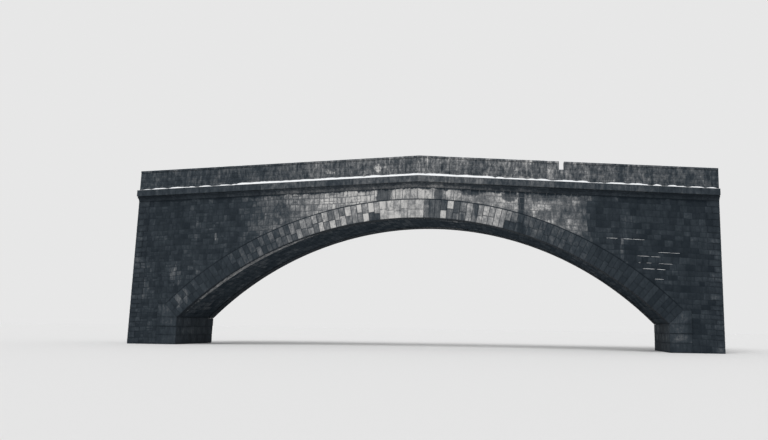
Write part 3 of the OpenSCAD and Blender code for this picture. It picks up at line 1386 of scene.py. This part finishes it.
def mortar_material(name, own_tone):
    """Rough lime mortar, darker towards the bridge's ends, or as its own tone says, with painted shadow in
    the joint over the arch.
    """
    material, shader, vector = new_material(name, 0.95, 0.05)
    grain = add_node("Group", {"Vector": vector, "Own": vector, "Scale": 2.2}, node_tree=GRAIN).outputs
    if own_tone:
        light = vary(read_piece("tone", vector), grain["Mottle"], 0.3)
        # Painted shadow in the joint over the arch
        light = darken(light, use_group(ARCH_JOINT_SHADE, Vector=vector), 0.7)
    else:
        light = spread_to(grain["Mottle"], 0.0, 1.0, 0.14, 0.40)
        light = darken(light, use_group(DARK_ENDS, Vector=vector), 0.75)
    connect(use_group(STONE_COLOUR, "Color", Lightness=light), shader["Base Color"])
    set_bump(shader, grain["Height"], 0.6, 0.006)
    return material


def gravel_material():
    """Gravel, with snow lying on it except where wheels have worn it away."""
    material, shader, vector = new_material("lane_gravel", 0.95)
    pebbles = add_node("TexVoronoi", {"Vector": vector, "Scale": 28.0}).outputs
    mottle = use_group(GRAIN, "Mottle", Vector=vector, Own=vector, Scale=1.0)
    shade = add_node("SeparateColor", {0: pebbles["Color"]}).outputs[0]
    light = plus(times(shade, 0.30), times(mottle, 0.22))
    from_track = size_of(minus(size_of(split(vector)["Y"]), TRACK_Y))
    ragged = times(minus(cloud(stretched(vector, 0.3, 1.0, 1.0), 2.6, 5.0, 0.6), 0.5), 1.1)
    snow = spread_to(plus(from_track, ragged), 0.14, 0.36, smooth=True)
    stones = use_group(STONE_COLOUR, "Color", Lightness=light)
    connect(blend(snow, stones, tone_colour(232, 234, 237)), shader["Base Color"])
    pebble = spread_to(pebbles["Distance"], 0.0, 0.6, 1.0, 0.0)
    set_bump(shader, maths("MAXIMUM", pebble, times(snow, 1.4)), 0.8, 0.012)
    return material


def snow_material():
    material, shader, vector = new_material("settled_snow", 0.6)
    soft = cloud(vector, 5.0, 5.0, 0.6)
    crystals = cloud(vector, 90.0, 3.0, 0.7)
    connect(blend(soft, tone_colour(226, 229, 233), tone_colour(246, 247, 248)), shader["Base Color"])
    connect(spread_to(crystals, 0.3, 0.7, 0.5, 0.75), shader["Roughness"])
    set_bump(shader, plus(times(soft, 0.8), times(crystals, 0.2)), 0.5, 0.02)
    return material


# Patches of stain and lime, and one of painted light: middle, half size, how ragged, and how much darker or
# lighter they make the stone
WALL_PATCHES = [
    ((-1.75, 0, 7.45), (0.45, 9, 0.60), 0.8, -0.60), ((1.0, 0, 7.5), (0.24, 9, 0.55), 0.6, -0.42),
    ((2.70, 0, 7.78), (0.75, 9, 0.26), 0.7, -0.50), ((5.12, 0, 6.9), (0.18, 9, 1.2), 0.4, -0.65),
    ((6.2, 0, 7.5), (0.8, 9, 0.30), 0.9, -0.40), ((6.4, 0, 7.70), (1.7, 9, 0.20), 0.7, -0.35),
    ((6.3, 0, 6.55), (0.50, 9, 0.30), 0.7, -0.35), ((-12.3, 0, 3.4), (0.35, 9, 0.50), 0.9, 1.2),
    ((-11.6, 0, 2.2), (0.35, 9, 0.60), 0.9, 0.9), ((-13.8, 0, 3.0), (0.6, 9, 0.9), 0.9, 0.4),
    ((-10.4, 0, 5.45), (0.05, 9, 0.22), 0.5, 2.0), ((-4.0, 0, 7.3), (0.8, 9, 0.25), 1.0, 0.15),
    ((4.55, 0, 7.5), (0.42, 9, 0.30), 0.6, -0.55), ((9.98, 0, 4.8), (0.10, 9, 0.75), 0.3, 1.3),
    ((10.14, 0, 4.2), (0.18, 9, 0.20), 0.5, 0.9), ((10.45, 0, 6.0), (0.50, 9, 0.75), 0.5, 0.45)]
# The third ring patch is painted light on the ring's underside at the left end
RING_PATCHES = [
    ((2.9, 0, 6.85), (0.14, 9, 0.6), 0.5, -0.45), ((5.12, 0, 5.9), (0.20, 9, 0.9), 0.4, -0.45),
    ((-8.6, -1.65, 4.0), (3.6, 0.26, 3.6), 0.8, 12.0), ((-12.0, 0, 2.3), (0.5, 9, 0.5), 0.8, 0.8)]
BARREL_PATCHES = [((1.6, -1.05, 6.4), (0.8, 0.07, 0.5), 0.2, 2.0)]
PARAPET_PATCHES = [
    ((-2.12, 0, 8.95), (0.19, 9, 0.24), 0.14, 0.85), ((0.41, 0, 9.2), (0.035, 9, 0.38), 0.5, 0.6),
    ((1.9, 0, 9.1), (0.05, 9, 0.30), 0.6, 0.35), ((-4.6, 0, 8.75), (0.35, 9, 0.10), 1.0, 0.45)]


def make_materials():
    """All materials by what they are for; painted shade and drips under a ledge are given by their top, their
    length and their darkness.
    """
    return {
        "ring": stone_material("ring_stone", mottle=0.36, runs=0.26, blotches=0.10, streaks=0.35, dirt=0.52,
                               patches=RING_PATCHES),
        # The barrel's dark tones are painted shade under the arch
        "barrel": stone_material("barrel_stone", (0.14, 0.44), mottle=0.5, streaks=0.3, shine=0.0,
                                 patches=BARREL_PATCHES),
        "wall": stone_material("wall_stone", mottle=0.40, runs=0.24, blotches=0.34, streaks=0.30, dirt=0.50,
                               drips=(WALL_TOP, 0.11, 0.75), over_arch=True, patches=WALL_PATCHES),
        "block": stone_material("block_stone", mottle=0.40, runs=0.3, blotches=0.3, streaks=0.4),
        "trim": stone_material("moulding_stone", mottle=0.3, runs=0.35, blotches=0.15, streaks=0.4, dirt=0.5),
        "bed": stone_material("bed_mould_stone", mottle=0.3, runs=0.30, blotches=0.15, streaks=0.3, dirt=0.4,
                              drips=(BED_TOP - 0.02, 0.12, 0.35)),
        "parapet": stone_material("parapet_stone", mottle=0.40, runs=0.50, blotches=0.15, streaks=0.45,
                                  dirt=0.10, bump=1.0, patches=PARAPET_PATCHES),
        "mortar": mortar_material("lime_mortar", False),
        "wall_mortar": mortar_material("wall_mortar", True),
        "gravel": gravel_material(),
        "snow": snow_material(),
    }


# Stage, light and camera

def make_stage():
    bpy.ops.object.select_all(action="DESELECT")
    bpy.ops.mesh.primitive_plane_add(size=900, location=(0, 0, 0))
    floor = bpy.context.object
    floor.name = "floor"
    material, shader = new_material("pale_floor", 0.9)[:2]
    shader["Base Color"].default_value = tone_colour(232, 232, 232)
    floor.data.materials.append(material)


def make_world():
    """Plain soft light on the bridge, and a paler sky for the camera and for reflections."""
    world = bpy.data.worlds.new("soft_sky")
    bpy.context.scene.world = world
    world.use_nodes = True
    tree = world.node_tree
    tree.nodes.clear()
    path = add_node("LightPath", {}, tree).outputs
    seen = maths("MAXIMUM", path["Is Camera Ray"], path["Is Glossy Ray"])
    seen = maths("MAXIMUM", seen, path["Is Transmission Ray"])
    strength = spread_to(seen, 0.0, 1.0, 0.55, 0.80)
    sky = add_node("Background", {"Color": (1, 1, 1, 1), "Strength": strength})
    connect(sky.outputs["Background"], tree.nodes.new("ShaderNodeOutputWorld").inputs["Surface"])


def make_lamp():
    turn = (math.radians(42), 0, math.radians(-18))
    bpy.ops.object.light_add(type="SUN", location=(-12, -40, 40), rotation=turn)
    lamp = bpy.context.object
    lamp.name = "soft_lamp"
    lamp.data.energy = 1.8
    lamp.data.angle = math.radians(35)


def make_camera():
    turn = Matrix.Identity(4)
    for degrees, axis in ((5.15, "Z"), (98.80, "X"), (0.84, "Z")):
        turn = turn @ Matrix.Rotation(math.radians(degrees), 4, axis)
    bpy.ops.object.camera_add(location=(5.52, -36.14, 1.00), rotation=turn.to_euler())
    camera = bpy.context.object
    camera.name = "camera"
    camera.data.sensor_width = 36
    camera.data.lens = 32.812
    camera.data.shift_x = -0.108
    camera.data.clip_end = 2000
    bpy.context.scene.camera = camera


# The whole bridge

def smooth_curves(piece, degrees):
    select_pieces(piece)
    bpy.ops.object.shade_smooth_by_angle(angle=math.radians(degrees))


def set_up_piece(piece, slot, *nodes):
    """Smooths a finished piece, gives it its body, and hides the solids that it stands for; the slot is not
    used.
    """
    smooth_curves(piece, degrees=35)
    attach(piece, "root")
    if nodes:
        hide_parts(*nodes)


def across(name):
    """The name of what lies half a turn round from what bears this name."""
    other = {"front": "back", "left": "right", "right": "left"}
    return "_".join(other.get(word, word) for word in name.split("_"))


def set_up_both(piece, slot, *nodes):
    """Sets up a piece and its copy on the bridge's other side."""
    twin = copy_turned(piece, across(piece.name))
    set_up_piece(piece, slot, *nodes)
    set_up_piece(twin, slot, *map(across, nodes))


def with_mortar(pieces, look, mortar):
    """Joins stones with the mortar behind them, each in its own material."""
    stones, core = pieces
    stones.data.materials.append(look)
    core.data.materials.append(mortar)
    select_pieces(stones, core)
    bpy.ops.object.join()
    return stones


def build_faces(looks):
    """Walls and rings on both faces, with the barrel between them."""
    walls = with_mortar((make_wall_stones(), make_wall_mortar()), looks["wall"], looks["wall_mortar"])
    set_up_both(walls, "wall_stone", "front_left_spandrel", "front_right_spandrel", "front_left_wing_wall",
                "front_right_wing_wall")
    ring = with_mortar((make_ring_stones(), make_ring_mortar()), looks["ring"], looks["wall_mortar"])
    set_up_both(ring, "ring_stone", "front_arch_ring")
    barrel = with_mortar((make_barrel_stones(), make_barrel_mortar()), looks["barrel"], looks["mortar"])
    set_up_piece(barrel, "barrel_stone", "arch_barrel")


def build_ends(looks):
    """Springers, abutments, end faces and quoins, modelled at the right and copied to the left."""
    block, mortar = looks["block"], looks["mortar"]
    set_up_both(with_mortar(make_springer(), block, mortar), "ring_stone", "right_springer")
    set_up_both(with_mortar(make_abutment(), block, mortar), "wall_stone", "right_abutment")
    set_up_both(with_mortar((make_end_stones(), make_core()), block, mortar), "rubble", "right_rubble_core")
    quoins = make_quoins()
    quoins.data.materials.append(block)
    set_up_both(quoins, "wall_stone")


def build_mouldings(looks):
    stretch = [pull_in((-END, END), END_PLAY)]
    for kind, outline, lengths, seed, light, look, slot in (
            ("bed_mould", bed_outline(), BED_STONES, 71, BED_LIGHT, "bed", "moulding_stone"),
            ("string_course", string_outline(), STRING_STONES, 72, STRING_LIGHT, "trim", "ring_stone")):
        bars = make_bars(f"front_{kind}", outline, stretch, lengths, light, seed)
        set_up_both(with_mortar(bars, looks[look], looks["mortar"]), slot, f"front_left_{kind}",
                    f"front_right_{kind}")


def build_parapet(looks, side, start, end, seed, missing=None):
    """One length of the front parapet, and its coping."""
    name = f"front_{side}_"
    parapet = (make_parapet_stones(name + "parapet_stones", start, end, seed, missing),
               make_parapet_mortar(name + "parapet_mortar", start, end, missing))
    stretches = around_gap(start, end, missing)
    coping = make_bars(name + "coping_stones", coping_outline(), stretches, COPING_STONES, PARAPET_LIGHT,
                       seed + 5)
    return {"parapet": with_mortar(parapet, looks["parapet"], looks["parapet"]),
            "coping": with_mortar(coping, looks["parapet"], looks["mortar"])}


def build_parapets(looks):
    """The parapets; only the front right one lacks a coping stone, so its copy is made from a whole one."""
    far = END - END_PLAY
    lengths = (("left", -far, -PARAPET_MIDDLE, 81), ("middle", -PARAPET_MIDDLE, PARAPET_MIDDLE, 84),
               ("right", PARAPET_MIDDLE, far, 87))
    for side, start, end, seed in lengths:
        pieces = build_parapet(looks, side, start, end, seed)
        for kind, piece in pieces.items():
            twin = copy_turned(piece, across(piece.name))
            set_up_piece(twin, f"{kind}_stone", across(f"front_{side}_{kind}"))
        if side == "right":
            for piece in pieces.values():
                bpy.data.objects.remove(piece)
            pieces = build_parapet(looks, side, start, end, seed, GAP)
        for kind, piece in pieces.items():
            set_up_piece(piece, f"{kind}_stone", f"front_{side}_{kind}")


def build_lane(looks):
    lane = make_lane()
    lane.data.materials.append(looks["gravel"])
    set_up_piece(lane, "lane_surface", "left_lane", "right_lane")


def build_snow(looks):
    ledge = make_snow("front_string_snow", ledge_drifts())
    coping = make_snow("front_coping_snow", coping_drifts())
    pieces = [ledge, copy_turned(ledge, "back_string_snow"), coping, copy_turned(coping, "back_coping_snow"),
              make_snow("gap_snow", gap_drift()), make_snow("wall_snow", wall_drifts())]
    for piece in pieces:
        piece.data.materials.append(looks["snow"])
        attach(piece, "root")
        smooth_curves(piece, degrees=60)


def build_bridge():
    looks = make_materials()
    for build in (build_faces, build_ends, build_mouldings, build_parapets, build_lane, build_snow):
        build(looks)


bpy.context.scene.view_settings.view_transform = "Standard"
make_camera()
make_world()
make_lamp()
make_stage()
build_bridge()
